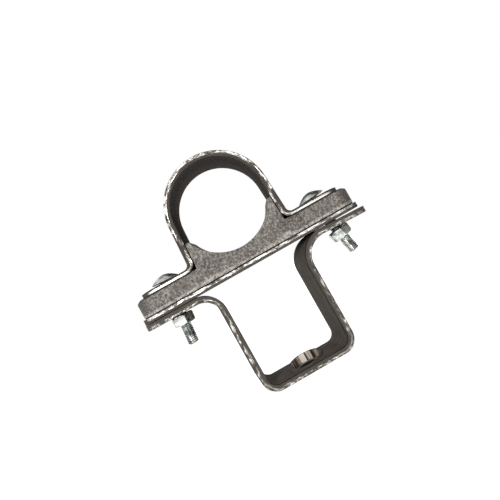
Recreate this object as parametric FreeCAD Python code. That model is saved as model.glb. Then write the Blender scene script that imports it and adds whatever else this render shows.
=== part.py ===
# Two-bolt pipe clamp: upper strap, saddle, base plate and a lower U strap that holds a square tube.
# Millimetres. The origin is the centre of the pipe bore. X runs along the plates, Y along the pipe, Z up.
# Every piece is built where it sits in the closed clamp.

import FreeCAD, Part
import math
import os

# Driving sizes
strap_width = 30.0
end_arc_radius = 15.6
bore_radius = 30.6
half_width = strap_width / 2

# Upper strap: its feet were pressed thinner than its ring
upper_thickness = 4.2
foot_thickness = 2.6
upper_length = 147.6
leg_splay_deg = 3.0
foot_top_z = -26.1
foot_bend_radius = 3.4

# Saddle: its bar slopes down at both ends
saddle_length = 158.5
saddle_bar_height = 12.2
saddle_end_drop = 1.8
saddle_end_run = 6.0
horn_tip_z = -11.8
horn_gap = 0.35
saddle_bottom_round = 1.0
saddle_top_round = 0.6

# Base plate
plate_length = 161.8
plate_thickness = 3.5

# Lower strap: its bends run askew, its legs sit off its feet, and its right foot droops
lower_thickness = 4.2
lower_length = 165.2
lower_feet_offset_x = 1.4
lower_legs_offset_x = -1.0
lower_inner_half = 28.7
lower_bottom_z = -121.7
lower_bottom_bend = 6.5
lower_skew_deg = 9.5
lower_top_bend_left = 11.5
lower_top_bend_right = 14.5
lower_droop_left_deg = 0.0
lower_droop_right_deg = 2.0

# Formed hole in the bottom of the lower strap
formed_hole_x = -0.6
formed_hole_radius = 10.5
collar_wall = 1.9
collar_height = 2.6
formed_entry_round = 1.6

# Bolts lean outward at the bottom, and the right one is bent under its head, so that its head leans less
bolt_radius = 3.95
bolt_length = 45.0
bolt_chamfer = 1.0
bolt_head_left_x = 55.7
bolt_head_right_x = 56.0
bolt_lean_left_deg = 4.5
bolt_lean_right_deg = 11.5
head_lean_left_deg = 4.5
head_lean_right_deg = 6.0
head_radius = 9.6
head_height = 4.9
head_rim = 0.6
neck_side = 8.0
neck_height = 3.0

# Nuts
nut_across_flats = 14.0
nut_height = 6.8
nut_bore_radius = 4.0
nut_chamfer_deg = 30.0
nut_face_radius = 6.6
nut_facet_left_deg = -10.0
nut_facet_right_deg = -30.0

# Room between pieces
seat_gap = 0.1
contact_gap = 0.05
hole_room = 0.4
neck_room = 0.2

# How far the clamp opens, and the share of that by which each piece rises from the lower strap
thread_pitch = 1.25
opening_turns = 6
opening_travel = thread_pitch * opening_turns
plate_share = 1 / 3
saddle_share = 2 / 3

# Heights worked out from the sizes above
foot_bottom_z = foot_top_z - foot_thickness
bar_top_z = foot_bottom_z - seat_gap
bar_bottom_z = bar_top_z - saddle_bar_height
plate_top_z = bar_bottom_z - seat_gap
plate_bottom_z = plate_top_z - plate_thickness

LEFT = -1
RIGHT = 1
bolt_lean = {LEFT: math.radians(bolt_lean_left_deg), RIGHT: math.radians(bolt_lean_right_deg)}
head_lean = {LEFT: math.radians(head_lean_left_deg), RIGHT: math.radians(head_lean_right_deg)}
bolt_head_x = {LEFT: bolt_head_left_x, RIGHT: bolt_head_right_x}
nut_facet_deg = {LEFT: nut_facet_left_deg, RIGHT: nut_facet_right_deg}
foot_droop = {LEFT: math.radians(lower_droop_left_deg), RIGHT: math.radians(lower_droop_right_deg)}
top_bend = {LEFT: lower_top_bend_left, RIGHT: lower_top_bend_right}
UP = FreeCAD.Vector(0, 0, 1)
ACROSS = FreeCAD.Vector(0, 1, 0)


def side_point(x, z):
    """A point of a side profile, in the plane of the front face."""
    return FreeCAD.Vector(x, -half_width, z)


def line(a, b):
    return Part.makeLine(a, b)


def arc(a, middle, b):
    return Part.Arc(a, middle, b).toShape()


def extruded_profile(edges):
    """Solid of the strap's width from the edges of its side profile."""
    face = Part.Face(Part.Wire(Part.__sortEdges__(edges)))
    return face.extrude(ACROSS * strap_width)


def strip_blank(length, centre_x, low_z, high_z):
    """Flat strip with arc-shaped ends, seen from above, between two heights."""
    tip = length / 2
    arc_centre = tip - end_arc_radius
    corner = arc_centre + math.sqrt(end_arc_radius ** 2 - half_width ** 2)

    def place(x, y):
        return FreeCAD.Vector(centre_x + x, y, low_z)

    edges = [
        line(place(-corner, -half_width), place(corner, -half_width)),
        arc(place(corner, -half_width), place(tip, 0), place(corner, half_width)),
        line(place(corner, half_width), place(-corner, half_width)),
        arc(place(-corner, half_width), place(-tip, 0), place(-corner, -half_width)),
    ]
    return Part.Face(Part.Wire(edges)).extrude(UP * (high_z - low_z))


def bolt_start(side):
    """Centre of the underside of a bolt head: the inner edge of the head lies on the upper foot."""
    lift = head_radius * math.sin(head_lean[side]) + contact_gap
    return FreeCAD.Vector(side * bolt_head_x[side], 0, foot_top_z + lift)


def place_head(shape, side):
    """Move a shape made about the vertical through the origin so that it sits on the bolt's head."""
    moved = shape.copy()
    moved.rotate(FreeCAD.Vector(0, 0, 0), ACROSS, -side * math.degrees(head_lean[side]))
    moved.translate(bolt_start(side))
    return moved


def bolt_direction(side):
    """Unit vector along a bolt, from its head to its end."""
    lean = bolt_lean[side]
    return FreeCAD.Vector(side * math.sin(lean), 0, -math.cos(lean))


def place_on_bolt(shape, side, distance):
    """Move a shape made about the vertical through the origin so that it sits along the bolt."""
    moved = shape.copy()
    moved.rotate(FreeCAD.Vector(0, 0, 0), ACROSS, -side * math.degrees(bolt_lean[side]))
    moved.translate(bolt_start(side) + bolt_direction(side) * distance)
    return moved


def bolt_hole(side, rise):
    """Round hole along a bolt, with room for a piece that rises while the bolt keeps its line."""
    radius = bolt_radius + hole_room + rise * math.sin(bolt_lean[side]) / 2
    hole = Part.makeCylinder(radius, 2 * bolt_length, FreeCAD.Vector(0, 0, -bolt_length))
    placed = place_on_bolt(hole, side, bolt_length / 2)
    placed.translate(UP * (-rise / 2))
    return placed


def neck_hole(side):
    """Square hole for a bolt's neck, longer inward: the leaning bolt draws inward as the strap rises.

    It is longer outward too, by as much as a bent bolt's shank strays from its neck within the foot.
    """
    drift = opening_travel * math.tan(bolt_lean[side])
    stray = (bolt_start(side).z - foot_bottom_z) * (math.tan(bolt_lean[side]) - math.tan(head_lean[side]))
    room = neck_side + 2 * neck_room
    depth = 4 * foot_thickness
    low_x = -room / 2 - (drift if side == RIGHT else stray)
    hole = Part.makeBox(room + drift + stray, room, 2 * depth, FreeCAD.Vector(low_x, -room / 2, -depth))
    return place_head(hole, side)


def upper_edges(radius, bend_radius, foot_z):
    """One face of the upper strap's side profile, from the left foot over the ring to the right foot."""
    splay = math.radians(leg_splay_deg)
    normal_x = math.cos(splay)
    normal_z = math.sin(splay)
    bend_z = foot_z + bend_radius
    bend_x = (radius + bend_radius - bend_z * normal_z) / normal_x
    middle_angle = math.radians(225 + leg_splay_deg / 2)
    tip_x = upper_length / 2

    def half(side):
        return [
            side_point(side * tip_x, foot_z),
            side_point(side * bend_x, foot_z),
            side_point(side * (bend_x + bend_radius * math.cos(middle_angle)),
                       bend_z + bend_radius * math.sin(middle_angle)),
            side_point(side * (bend_x - bend_radius * normal_x), bend_z - bend_radius * normal_z),
            side_point(side * radius * normal_x, radius * normal_z),
        ]

    edges = []
    for side in (LEFT, RIGHT):
        tip, foot, middle, leg, ring = half(side)
        edges += [line(tip, foot), arc(foot, middle, leg), line(leg, ring)]
    edges.append(arc(half(LEFT)[4], side_point(0, radius), half(RIGHT)[4]))
    return edges


def upper_strap():
    """Flat bar bent over the pipe: ring, two legs and two feet."""
    tip_x = upper_length / 2
    edges = upper_edges(bore_radius + upper_thickness, foot_bend_radius, foot_top_z)
    edges += upper_edges(bore_radius, foot_bend_radius + foot_thickness, foot_bottom_z)
    for side in (LEFT, RIGHT):
        edges.append(line(side_point(side * tip_x, foot_top_z), side_point(side * tip_x, foot_bottom_z)))
    body = extruded_profile(edges)
    body = body.common(strip_blank(upper_length, 0, foot_bottom_z - 1, bore_radius + upper_thickness + 1))
    return body.cut(neck_hole(LEFT)).cut(neck_hole(RIGHT))


def horn_outer_x(z):
    """Outer side of a horn: along the strap's leg, a gap inside it."""
    splay = math.radians(leg_splay_deg)
    return (bore_radius - horn_gap - z * math.sin(splay)) / math.cos(splay)


def edges_at_height(shape, z):
    """Outline edges that lie flat at one height."""
    return [e for e in shape.Edges if all(abs(v.Z - z) < 0.01 for v in e.Vertexes)]


def saddle():
    """Solid block with a round seat between two horns, on a bar as wide as the straps."""
    tip_x = saddle_length / 2
    seat_x = math.sqrt(bore_radius ** 2 - horn_tip_z ** 2)
    edges = [line(side_point(-tip_x, bar_bottom_z), side_point(tip_x, bar_bottom_z))]
    for side in (LEFT, RIGHT):
        corners = [
            side_point(side * tip_x, bar_bottom_z),
            side_point(side * tip_x, bar_top_z - saddle_end_drop),
            side_point(side * (tip_x - saddle_end_run), bar_top_z),
            side_point(side * horn_outer_x(bar_top_z), bar_top_z),
            side_point(side * horn_outer_x(horn_tip_z), horn_tip_z),
            side_point(side * seat_x, horn_tip_z),
        ]
        edges += [line(a, b) for a, b in zip(corners, corners[1:])]
    seat_left = side_point(-seat_x, horn_tip_z)
    seat_right = side_point(seat_x, horn_tip_z)
    edges.append(arc(seat_left, side_point(0, -bore_radius), seat_right))
    body = extruded_profile(edges)
    body = body.common(strip_blank(saddle_length, 0, bar_bottom_z - 1, horn_tip_z + 1))
    body = body.makeFillet(saddle_bottom_round, edges_at_height(body, bar_bottom_z))
    body = body.makeFillet(saddle_top_round, bar_top_edges(body))
    for side in (LEFT, RIGHT):
        body = body.cut(bolt_hole(side, opening_travel * saddle_share))
    return body


def bar_top_edges(body):
    """Long edges of the bar's top face, left and right of the horns."""
    return [e for e in edges_at_height(body, bar_top_z)
            if max(abs(v.X) for v in e.Vertexes) - min(abs(v.X) for v in e.Vertexes) > saddle_end_run]


def base_plate():
    """Flat plate under the saddle."""
    body = strip_blank(plate_length, 0, plate_bottom_z, plate_top_z)
    for side in (LEFT, RIGHT):
        body = body.cut(bolt_hole(side, opening_travel * plate_share))
    return body


def lower_bend_centre(side):
    """Centre of the bend between a leg and a foot of the lower strap, half way across the strap."""
    x = lower_legs_offset_x + side * (lower_inner_half + lower_thickness + top_bend[side])
    return FreeCAD.Vector(x, 0, plate_bottom_z - seat_gap - lower_thickness - top_bend[side])


def foot_normal(side):
    """Upward normal of a foot of the lower strap."""
    droop = foot_droop[side]
    return FreeCAD.Vector(side * math.sin(droop), 0, math.cos(droop))


def lower_half(side, thickness):
    """One face of half of the lower strap's side profile, from the bottom's middle to the foot's end."""
    wall_x = lower_legs_offset_x + side * (lower_inner_half + thickness)
    floor_z = lower_bottom_z + lower_thickness - thickness
    radius = lower_bottom_bend + thickness
    corner = FreeCAD.Vector(wall_x - side * radius, 0, floor_z + radius)
    diagonal = FreeCAD.Vector(side, 0, -1) * (radius * math.sqrt(0.5))
    bend = lower_bend_centre(side)
    bend_radius = top_bend[side] + lower_thickness - thickness
    droop = foot_droop[side]
    middle_angle = (math.pi / 2 + droop) / 2
    middle = FreeCAD.Vector(-side * math.cos(middle_angle), 0, math.sin(middle_angle))
    foot_start = bend + foot_normal(side) * bend_radius
    along = FreeCAD.Vector(side * math.cos(droop), 0, -math.sin(droop))
    foot_end = foot_start + along * lower_length / 2
    floor_middle = FreeCAD.Vector(lower_legs_offset_x, 0, floor_z)
    floor_end = FreeCAD.Vector(corner.x, 0, floor_z)
    wall_low = FreeCAD.Vector(wall_x, 0, corner.z)
    wall_high = FreeCAD.Vector(wall_x, 0, bend.z)
    edges = [
        line(floor_middle, floor_end),
        arc(floor_end, corner + diagonal, wall_low),
        line(wall_low, wall_high),
        arc(wall_high, bend + middle * bend_radius, foot_start),
        line(foot_start, foot_end),
    ]
    return edges, foot_end


def lower_band():
    """Bent band before its holes: the side profile carried askew, then cut to the strip's outline."""
    edges = []
    for side in (LEFT, RIGHT):
        inner_edges, inner_end = lower_half(side, 0)
        outer_edges, outer_end = lower_half(side, lower_thickness)
        edges += inner_edges + outer_edges + [line(inner_end, outer_end)]
    face = Part.Face(Part.Wire(Part.__sortEdges__(edges)))
    askew = FreeCAD.Vector(-math.tan(math.radians(lower_skew_deg)), 1, 0)
    reach = strap_width
    face.translate(askew * -reach)
    band = face.extrude(askew * 2 * reach)
    blank = strip_blank(lower_length, lower_feet_offset_x, lower_bottom_z - 1, plate_bottom_z + 1)
    return band.common(blank)


def formed_hole(body):
    """Hole drawn upward through the bottom of the U: a collar inside, a rounded entry below."""
    centre = FreeCAD.Vector(formed_hole_x, 0, lower_bottom_z)
    height = lower_thickness + collar_height
    collar = Part.makeCylinder(formed_hole_radius + collar_wall, height - 0.2, centre + UP * 0.2)
    body = body.fuse(collar)
    body = body.cut(Part.makeCylinder(formed_hole_radius, 2 * height, centre - UP * (height / 2)))
    entry = [e for e in edges_at_height(body, lower_bottom_z)
             if hasattr(e.Curve, "Radius") and abs(e.Curve.Radius - formed_hole_radius) < 0.01]
    return body.makeFillet(formed_entry_round, entry)


def lower_strap():
    """Flat bar bent into a U that hangs from two feet."""
    body = formed_hole(lower_band())
    for side in (LEFT, RIGHT):
        body = body.cut(bolt_hole(side, 0))
    return body


def bolt(side):
    """Round-head bolt with a square neck; the thread is left as a plain shank."""
    dome_height = head_height - head_rim
    dome_radius = (head_radius ** 2 + dome_height ** 2) / (2 * dome_height)
    dome_x = head_radius / 2
    dome = FreeCAD.Vector(dome_x, 0, head_height - dome_radius + math.sqrt(dome_radius ** 2 - dome_x ** 2))
    top = FreeCAD.Vector(0, 0, head_height)
    rim = FreeCAD.Vector(head_radius, 0, head_rim)
    edge = FreeCAD.Vector(head_radius, 0, 0)
    middle = FreeCAD.Vector(0, 0, 0)
    profile = Part.Wire([arc(top, dome, rim), line(rim, edge), line(edge, middle), line(middle, top)])
    head = Part.Face(profile).revolve(middle, UP, 360)
    neck_corner = FreeCAD.Vector(-neck_side / 2, -neck_side / 2, -neck_height)
    head = head.fuse(Part.makeBox(neck_side, neck_side, neck_height, neck_corner))
    straight = bolt_length - bolt_chamfer
    shank = Part.makeCylinder(bolt_radius, straight, UP * -straight)
    tip = Part.makeCone(bolt_radius - bolt_chamfer, bolt_radius, bolt_chamfer, UP * -bolt_length)
    shank = shank.fuse(tip)
    return place_head(head, side).fuse(place_on_bolt(shank, side, 0)).removeSplitter()


def nut_distance(side):
    """Distance along the bolt at which the nut's outer edge meets the underside of the lower foot."""
    normal = foot_normal(side)
    lean = bolt_lean[side]
    outward = FreeCAD.Vector(side * math.cos(lean), 0, math.sin(lean))
    foot = lower_bend_centre(side) + normal * top_bend[side]
    offset = (bolt_start(side) + outward * nut_face_radius - foot).dot(normal)
    return (-contact_gap - offset) / bolt_direction(side).dot(normal)


def nut(side):
    """Hexagon nut, chamfered on both faces, with its top at the origin before it is placed."""
    corner_radius = nut_across_flats / math.sqrt(3)
    first = math.radians(nut_facet_deg[side] - 60)
    points = [FreeCAD.Vector(corner_radius * math.cos(first + k * math.pi / 3),
                             corner_radius * math.sin(first + k * math.pi / 3), -nut_height) for k in range(7)]
    prism = Part.Face(Part.makePolygon(points)).extrude(UP * nut_height)
    wide = 2 * corner_radius
    drop = (wide - nut_face_radius) * math.tan(math.radians(nut_chamfer_deg))
    outline = [(0, 0), (nut_face_radius, 0), (wide, -drop), (wide, drop - nut_height),
               (nut_face_radius, -nut_height), (0, -nut_height), (0, 0)]
    wire = Part.makePolygon([FreeCAD.Vector(x, 0, z) for x, z in outline])
    body = prism.common(Part.Face(wire).revolve(FreeCAD.Vector(0, 0, 0), UP, 360))
    body = body.cut(Part.makeCylinder(nut_bore_radius, 3 * nut_height, FreeCAD.Vector(0, 0, -2 * nut_height)))
    return place_on_bolt(body, side, nut_distance(side))


pieces = {
    "upper_strap": upper_strap(),
    "saddle": saddle(),
    "base_plate": base_plate(),
    "lower_strap": lower_strap(),
    "left_bolt": bolt(LEFT),
    "right_bolt": bolt(RIGHT),
    "left_nut": nut(LEFT),
    "right_nut": nut(RIGHT),
}

os.makedirs("parts", exist_ok=True)
for name, shape in pieces.items():
    print(name, shape.ShapeType, len(shape.Solids), shape.isValid(), round(shape.Volume, 1))
    solid = shape.Solids[0]
    solid.exportStep("parts/" + name + ".step")
for side in (LEFT, RIGHT):
    print("bolt start", bolt_start(side), "direction", bolt_direction(side), "nut at", nut_distance(side))
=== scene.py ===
import math

import bmesh
import bpy
import numpy as np
from mathutils import Matrix


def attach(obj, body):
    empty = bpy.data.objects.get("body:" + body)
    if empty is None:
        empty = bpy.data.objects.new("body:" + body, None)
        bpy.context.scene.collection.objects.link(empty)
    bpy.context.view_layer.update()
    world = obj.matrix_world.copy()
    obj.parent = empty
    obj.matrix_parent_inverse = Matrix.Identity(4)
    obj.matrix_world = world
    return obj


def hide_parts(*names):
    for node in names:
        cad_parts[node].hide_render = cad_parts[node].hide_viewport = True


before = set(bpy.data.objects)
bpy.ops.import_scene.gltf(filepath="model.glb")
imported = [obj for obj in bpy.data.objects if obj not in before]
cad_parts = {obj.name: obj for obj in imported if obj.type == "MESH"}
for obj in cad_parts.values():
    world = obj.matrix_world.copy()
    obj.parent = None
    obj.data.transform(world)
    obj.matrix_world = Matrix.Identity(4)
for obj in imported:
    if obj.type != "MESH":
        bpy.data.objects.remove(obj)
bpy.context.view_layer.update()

MM = 0.001

# Camera, found by fitting the straight edges and circles of the clamp to the photograph
CAMERA_PLACE_MM = (1.08, -244.5, -43.2)
CAMERA_RIGHT = (0.870330, -0.018188, -0.492133)
CAMERA_UP = (0.491361, -0.034910, 0.870256)
CAMERA_BACK = (-0.033009, -0.999225, -0.021447)
CAMERA_LENS_MM = 26.2
CAMERA_SHIFT_PX = 250 - 260.13
IMAGE_PX = 500

# Sizes of the solids, in millimetres, with the origin in the centre of the pipe
HALF_WIDTH = 15.0
END_RADIUS = 15.6
BORE_RADIUS = 30.6
UPPER_THICKNESS = 4.2
UPPER_TIP = 73.8
LEG_SPLAY_DEG = 3.0
UPPER_FOOT_TOP = -26.1
UPPER_FOOT_THICKNESS = 2.6
UPPER_FOOT_BEND = 3.4
SADDLE_TIP = 79.25
SADDLE_TOP = -28.8
SADDLE_BOTTOM = -41.0
SADDLE_END_DROP = 1.8
SADDLE_END_RUN = 6.0
HORN_TIP = -11.8
HORN_GAP = 0.35
PLATE_TIP = 80.9
PLATE_TOP = -41.1
PLATE_BOTTOM = -44.6
LOWER_THICKNESS = 4.2
LOWER_FOOT_TOP = -44.7
LOWER_BOTTOM = -121.7
LOWER_TIPS = (-81.2, 84.0)
LOWER_LEGS_X = -1.0
LOWER_INNER_HALF = 28.7
LOWER_BOTTOM_BEND = 6.5
LOWER_TOP_BEND = {-1: 11.5, 1: 14.5}
LOWER_DROOP_DEG = 2.0
LOWER_SKEW = math.tan(math.radians(9.5))
FORMED_HOLE_X = -0.6
FORMED_HOLE_RADIUS = 10.5
COLLAR_WALL = 1.9
COLLAR_HEIGHT = 2.6
COLLAR_FRONT_SHARE = 0.3
# Centre of a painted highlight on the rear wall of the drawn hole
REAR_WALL_HIGHLIGHT_MM = (FORMED_HOLE_X - 1.2, FORMED_HOLE_RADIUS, 0.0)
BOLT_LEAN = {-1: math.radians(4.5), 1: math.radians(11.5)}
HEAD_LEAN = {-1: math.radians(4.5), 1: math.radians(6.0)}
HEAD_RADIUS = 9.6
HEAD_HEIGHT = 4.9
HEAD_RIM = 0.6
HEAD_GAP = 0.05
BOLT_HEAD_X = {-1: -55.7, 1: 56.0}
BOLT_HEAD_Z = {side: UPPER_FOOT_TOP + HEAD_RADIUS * math.sin(lean) + HEAD_GAP
               for side, lean in HEAD_LEAN.items()}
BOLT_RADIUS = 3.95
BOLT_LENGTH = 45.0
NECK_HALF = 4.0
NECK_HEIGHT = 3.0
NECK_ROOM = 0.2
THREAD_PITCH = 1.25
THREAD_DEPTH = 0.5
THREAD_LENGTH = 25.0
NUT_DISTANCE = {-1: 24.2458, 1: 26.4877}
NUT_FLATS = 14.0
NUT_HEIGHT = 6.8
NUT_BORE = 4.0
NUT_FACE = 6.6
NUT_FACET_DEG = {-1: -10.0, 1: -30.0}
HOLE_RADIUS = BOLT_RADIUS + 0.4
OPENING = 7.5

# Fine shapes of the meshes, in millimetres or as shares and powers
EDGE_BREAK = 0.35
EDGE_SOFT = 0.1
ENTRY_RADIUS = 1.6
LIP_DEPTH = 0.8
COLLAR_FOOT = 0.6
HORN_ROOT_RADIUS = 0.5
HORN_TIP_RADIUS = 0.9
UNEVEN = 0.07
UNEVEN_LENGTH = 31.0
DOME_POWER = 1.8
NECK_POWER = 8
NECK_HOLE_POWER = 9.0
THREAD_END_RADIUS = 1.6
NUT_CORNER_CUT = 0.12
NUT_BORE_CUT = 0.55
NUT_EDGE = 0.05

# Density of the meshes, and where a hole's wall starts on the way around a bar's section
CLEAR_OF_HOLE = 3.3
CORNER_ROWS = 6
EDGE_ROWS = 9
END_STATIONS = 20
FACE_SHARES = (1.0, 0.75, 0.5, 0.3, 0.15, 0.05)
BOLT_DIRECTIONS = 72
NUT_DIRECTIONS = 144
ROWS_PER_PITCH = 10
WALL_START = 20
WHITE = (1.0, 1.0, 1.0, 1.0)


def linear(hex_colour):
    """Linear colour from an sRGB hex value, as the shader sockets want it."""
    parts = [int(hex_colour[k:k + 2], 16) / 255 for k in (1, 3, 5)]
    return tuple(c / 12.92 if c <= 0.04045 else ((c + 0.055) / 1.055) ** 2.4 for c in parts) + (1.0,)


def add(tree, kind, settings=None, inputs=None):
    """Add a shader node, set its properties and colour stops, and set or link its inputs."""
    node = tree.nodes.new("ShaderNode" + kind)
    for name, value in (settings or {}).items():
        if name == "stops":
            elements = node.color_ramp.elements
            while len(elements) < len(value):
                elements.new(1.0)
            for element, (position, colour) in zip(elements, value):
                element.position = position
                element.color = linear(colour)
        else:
            setattr(node, name, value)
    for socket, value in (inputs or {}).items():
        if isinstance(value, bpy.types.NodeSocket):
            tree.links.new(value, node.inputs[socket])
        else:
            node.inputs[socket].default_value = value
    return node


def maths(tree, operation, inputs):
    """Result of a maths node."""
    return add(tree, "Math", {"operation": operation}, inputs).outputs[0]


def vector(tree, operation, inputs):
    """Result of a vector maths node, which is a number for some operations."""
    node = add(tree, "VectorMath", {"operation": operation}, inputs)
    return node.outputs["Value" if operation in ("DISTANCE", "DOT_PRODUCT", "LENGTH") else "Vector"]


def remap(tree, inputs, clamp=True):
    """Value 0 carried from the range 1 to 2, which is 0 to 1 if left out, to the range 3 to 4, likewise."""
    return add(tree, "MapRange", {"clamp": clamp}, inputs).outputs[0]


def mix(tree, inputs):
    """Colour between 6 and 7, by the share 0."""
    return add(tree, "Mix", {"data_type": "RGBA"}, inputs).outputs[2]


def ramp(tree, value, stops):
    """Colour of a value on a scale of positions and hex colours."""
    return add(tree, "ValToRGB", {"stops": stops}, {0: value}).outputs[0]


def noise(tree, inputs):
    """Value of a noise texture."""
    return add(tree, "TexNoise", None, inputs).outputs[0]


def bar_coordinate(tree):
    """The meshes' own coordinate: millimetres along the bar, around its section and aside."""
    return add(tree, "Attribute", {"attribute_name": "bar"}).outputs["Vector"]


def surface(tree, strength, distance, height, inputs):
    """Principled shader with these inputs, and bumps of this strength, distance in metres and height."""
    bump = add(tree, "Bump", None, {"Strength": strength, "Distance": distance, "Height": height})
    shader = add(tree, "BsdfPrincipled", None, {"Normal": bump.outputs[0], **inputs})
    add(tree, "OutputMaterial", None, {"Surface": shader.outputs[0]})


def new_material(name):
    """Empty node material with its tree."""
    material = bpy.data.materials.new(name)
    material.use_nodes = True
    material.node_tree.nodes.clear()
    return material, material.node_tree


def make_camera():
    """Camera in front of the clamp, rolled as in the photograph."""
    data = bpy.data.cameras.new("camera")
    data.lens = CAMERA_LENS_MM
    data.sensor_width = 36.0
    data.clip_start = 0.01
    data.clip_end = 20.0
    camera = bpy.data.objects.new("camera", data)
    bpy.context.scene.collection.objects.link(camera)
    turn = Matrix((CAMERA_RIGHT, CAMERA_UP, CAMERA_BACK)).transposed().to_4x4()
    camera.matrix_world = Matrix.Translation([v * MM for v in CAMERA_PLACE_MM]) @ turn
    data.shift_x = CAMERA_SHIFT_PX / IMAGE_PX
    bpy.context.scene.camera = camera


def waviness(distance, seed, length):
    """Gentle unevenness from -1 to 1: three sine waves whose lengths and starts come from the seed."""
    total = 0.0
    for k, share in enumerate((0.5, 0.3, 0.2)):
        wave = length / (1 + 0.83 * k + 0.11 * (seed % 5))
        total = total + share * np.sin(2 * math.pi * distance / wave + 1.7 * seed + 2.3 * k)
    return total


def run_length(run):
    """Length of a straight run or a round bend."""
    if run[0] == "straight":
        return math.dist(run[1], run[2])
    return run[2] * abs(math.radians(run[4] - run[3]))


def follow_path(runs, distance):
    """Point and left-hand normal at each distance along straight runs and round bends, in the XZ plane."""
    place = np.zeros(distance.shape + (2,))
    normal = np.zeros(distance.shape + (2,))
    start = 0.0
    for index, run in enumerate(runs):
        length = run_length(run)
        here = np.ones(distance.shape, bool)
        if index > 0:
            here &= distance >= start
        if index < len(runs) - 1:
            here &= distance < start + length
        past = distance[here] - start
        if run[0] == "straight":
            way = (np.array(run[2]) - np.array(run[1])) / length
            place[here] = np.array(run[1]) + past[:, None] * way
            normal[here] = (-way[1], way[0])
        else:
            _, centre, radius, from_deg, to_deg = run
            turn = math.copysign(1, to_deg - from_deg)
            angle = math.radians(from_deg) + turn * past / radius
            outward = np.stack([np.cos(angle), np.sin(angle)], -1)
            place[here] = np.array(centre) + radius * outward
            normal[here] = -turn * outward
        start += length
    return place, normal


def path_length(runs):
    """Length of all runs together."""
    return sum(run_length(run) for run in runs)


def mesh_object(name, points, faces, materials, face_material=None, bar=None, smooth_deg=38):
    """Closed mesh from points in millimetres: doubles merged, normals outward, sharp only past an angle."""
    mesh = bpy.data.meshes.new(name)
    mesh.from_pydata((points * MM).tolist(), [], faces.tolist())
    for material in materials:
        mesh.materials.append(material)
    if face_material is not None:
        mesh.polygons.foreach_set("material_index", face_material.astype(np.int32))
    if bar is not None:
        layer = mesh.attributes.new("bar", "FLOAT_VECTOR", "POINT")
        layer.data.foreach_set("vector", bar.astype(np.float32).ravel())
    work = bmesh.new()
    work.from_mesh(mesh)
    bmesh.ops.remove_doubles(work, verts=work.verts, dist=2e-6)
    bmesh.ops.delete(work, geom=[v for v in work.verts if not v.link_faces], context="VERTS")
    bmesh.ops.recalc_face_normals(work, faces=work.faces)
    work.to_mesh(mesh)
    open_edges = sum(1 for e in work.edges if len(e.link_faces) != 2)
    print(name, "faces", len(work.faces), "edges not shared by two faces", open_edges)
    work.free()
    mesh.polygons.foreach_set("use_smooth", np.ones(len(mesh.polygons), bool))
    mesh.set_sharp_from_angle(angle=math.radians(smooth_deg))
    piece = bpy.data.objects.new(name, mesh)
    bpy.context.scene.collection.objects.link(piece)
    return piece


def hole_outline(hole, angle, grow):
    """Point of a hole's edge: a circle, or a square with soft corners, grown outward by some millimetres."""
    power = 2 / hole["power"]
    along = np.sign(np.cos(angle)) * np.abs(np.cos(angle)) ** power * (hole["half_along"] + grow)
    aside = np.round(np.abs(np.sin(angle)), 9) ** power * (hole["half_aside"] + grow)
    return hole["at"] + along, aside


def round_hole(at, lean, thickness, radius=HOLE_RADIUS):
    """Drilled hole with softly broken edges, which moves along the bar by its lean per unit of height."""
    half = thickness / 2
    wall = [(EDGE_BREAK, half), (EDGE_SOFT, half - EDGE_SOFT), (0.0, half - EDGE_BREAK), (0.0, 0.0),
            (0.0, EDGE_BREAK - half), (EDGE_SOFT, EDGE_SOFT - half), (EDGE_BREAK, -half)]
    return {"at": at, "half_along": radius, "half_aside": radius, "power": 2.0,
            "wall": wall, "lean": lean, "stations": 25, "drawn": False}


def formed_hole_wall(thickness):
    """Section of the drawn hole, as (growth, height): rounded entry below, straight wall, collar above."""
    half = thickness / 2
    turn = np.radians(np.linspace(0, 90, CORNER_ROWS))
    top = half + COLLAR_HEIGHT
    entry = [(ENTRY_RADIUS * (1 - math.sin(t)), -half + ENTRY_RADIUS * (1 - math.cos(t))) for t in turn]
    lip = [(0.0, top - LIP_DEPTH), (0.0, top - EDGE_BREAK), (EDGE_SOFT, top - EDGE_SOFT), (EDGE_BREAK, top),
           (COLLAR_WALL - EDGE_BREAK, top), (COLLAR_WALL - EDGE_SOFT, top - EDGE_SOFT),
           (COLLAR_WALL, top - EDGE_BREAK)]
    foot = [(COLLAR_WALL, half + COLLAR_FOOT), (COLLAR_WALL + 0.1, half + 0.25),
            (COLLAR_WALL + COLLAR_FOOT, half)]
    return (entry + lip + foot)[::-1]


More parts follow.
